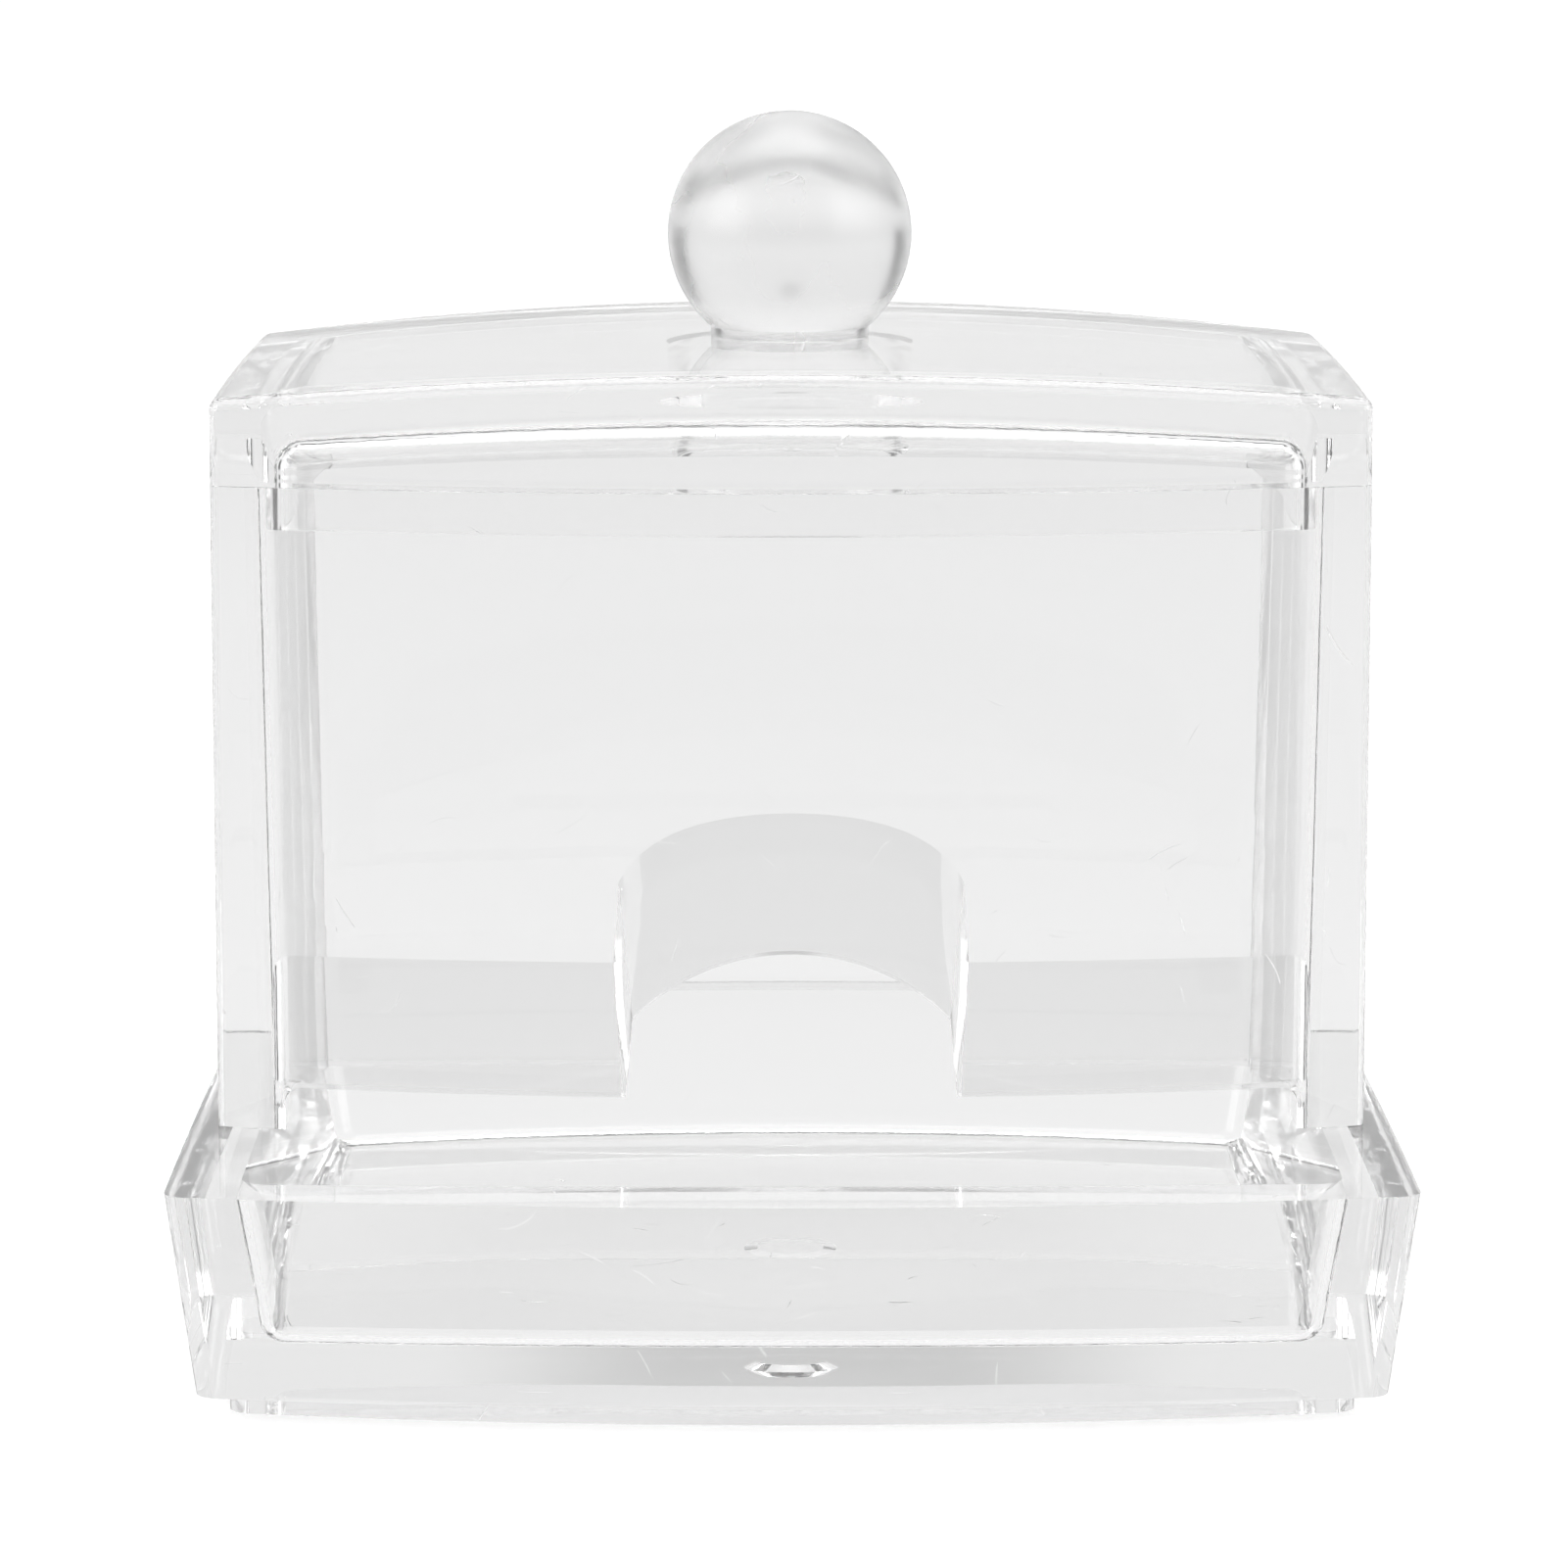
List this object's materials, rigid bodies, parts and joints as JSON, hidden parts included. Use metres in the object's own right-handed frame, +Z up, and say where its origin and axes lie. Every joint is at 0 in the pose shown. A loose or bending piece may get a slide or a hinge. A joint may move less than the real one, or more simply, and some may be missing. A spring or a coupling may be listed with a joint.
{
  "type": "cotton swab dispenser",
  "caption": "Clear swab dispenser: an open chamber with an arched finger gap over a front tray, and a lift-off lid with a ball knob.",
  "frame": {"origin": "centre of the dispenser's bounding box, at the height of the table it stands on", "axes": "+Z up, +X to the right seen from the front, and the tray and the finger gap face -Y"},
  "size_m": [0.0964, 0.0943, 0.0977],
  "materials": {
    "clear_tray": "clear polished acrylic",
    "clear_body": "clear polished acrylic",
    "clear_lid": "clear polished acrylic",
    "clear_knob": "clear polished acrylic"
  },
  "bodies": {
    "case": {"base_tray": "clear_tray", "body": "clear_body"},
    "lid": {"lid": "clear_lid", "knob": "clear_knob"}
  },
  "joints": [
    {"name": "lid_lift", "type": "slide", "parent": "case", "child": "lid", "axis": [0, 0, 1], "range_m": [0, 0.06]}
  ]
}
